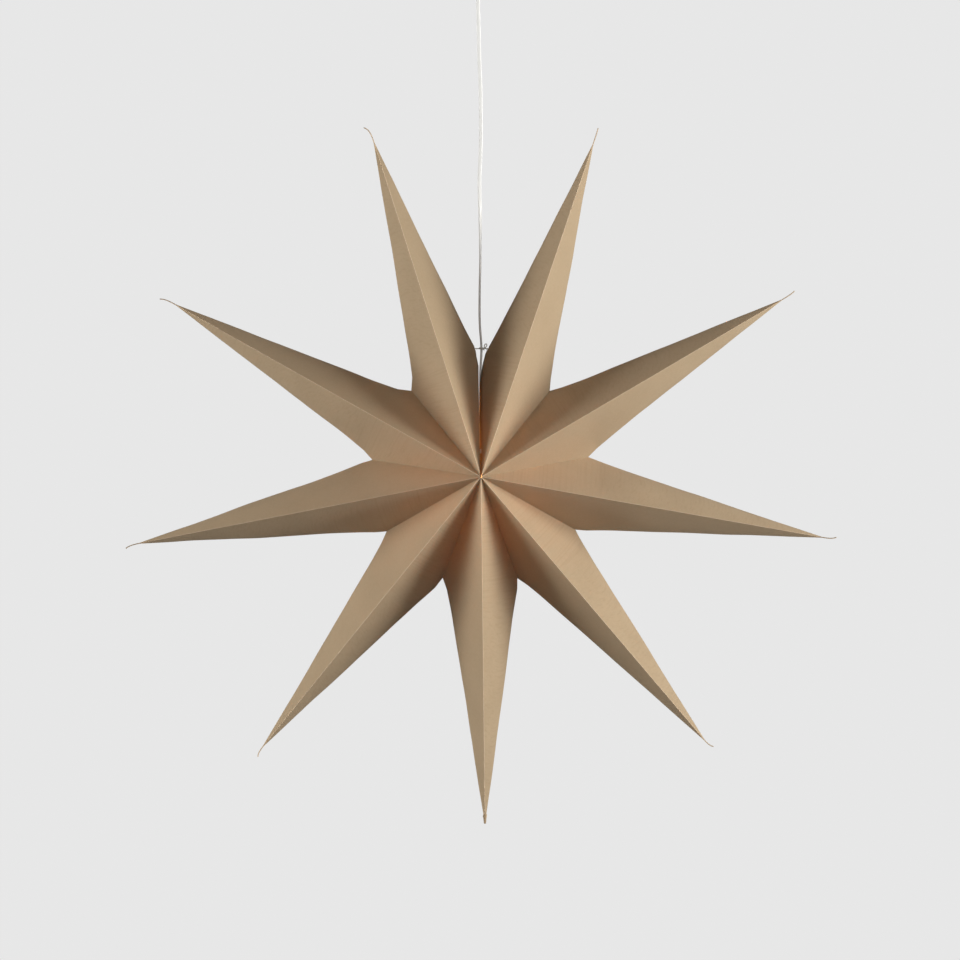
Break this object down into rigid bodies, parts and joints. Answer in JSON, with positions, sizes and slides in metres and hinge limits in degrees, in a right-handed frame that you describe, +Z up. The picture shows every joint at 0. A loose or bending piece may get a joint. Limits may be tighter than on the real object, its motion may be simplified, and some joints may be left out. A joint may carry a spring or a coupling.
{
  "type": "paper star lamp",
  "caption": "Hanging star lamp of folded kraft paper rays on a white flat cord, with a bulb and holder inside and a ceiling cup above.",
  "frame": {"origin": "middle of the ceiling bracket's top face, where the lamp meets the ceiling", "axes": "+Z up, the star's plane is XZ and its front looks toward -Y"},
  "size_m": [0.987, 0.2482, 1.2464],
  "materials": {
    "kraft_paper": "matte kraft paper",
    "string": "twisted cotton",
    "cord_sheath": "soft satin",
    "white_plastic": "satin",
    "ceramic": "unglazed",
    "brass": "drawn",
    "frosted_glass": "frosted, lit warm white",
    "nickel": "nickel plated",
    "black_glass": "gloss",
    "zinc_steel": "zinc plated"
  },
  "bodies": {
    "root": {"ray_1": "kraft_paper", "ray_2": "kraft_paper", "ray_3": "kraft_paper", "ray_4": "kraft_paper", "ray_5": "kraft_paper", "ray_6": "kraft_paper", "ray_7": "kraft_paper", "ray_8": "kraft_paper", "ray_9": "kraft_paper", "top_tie": "string", "front_tie": "string", "back_tie": "string", "cord": "cord_sheath", "holder_cap": "white_plastic", "holder_body": "white_plastic", "contact_base": "ceramic", "thread_sleeve": "brass", "centre_contact": "brass", "bulb_glass": "frosted_glass", "bulb_cap": "nickel", "bulb_insulator": "black_glass", "bulb_contact": "nickel", "ceiling_cup": "white_plastic", "ceiling_bracket": "zinc_steel", "cup_screws": "zinc_steel", "cord_grip": "white_plastic", "grip_nut": "white_plastic", "terminal_block": "ceramic"}
  },
  "joints": []
}
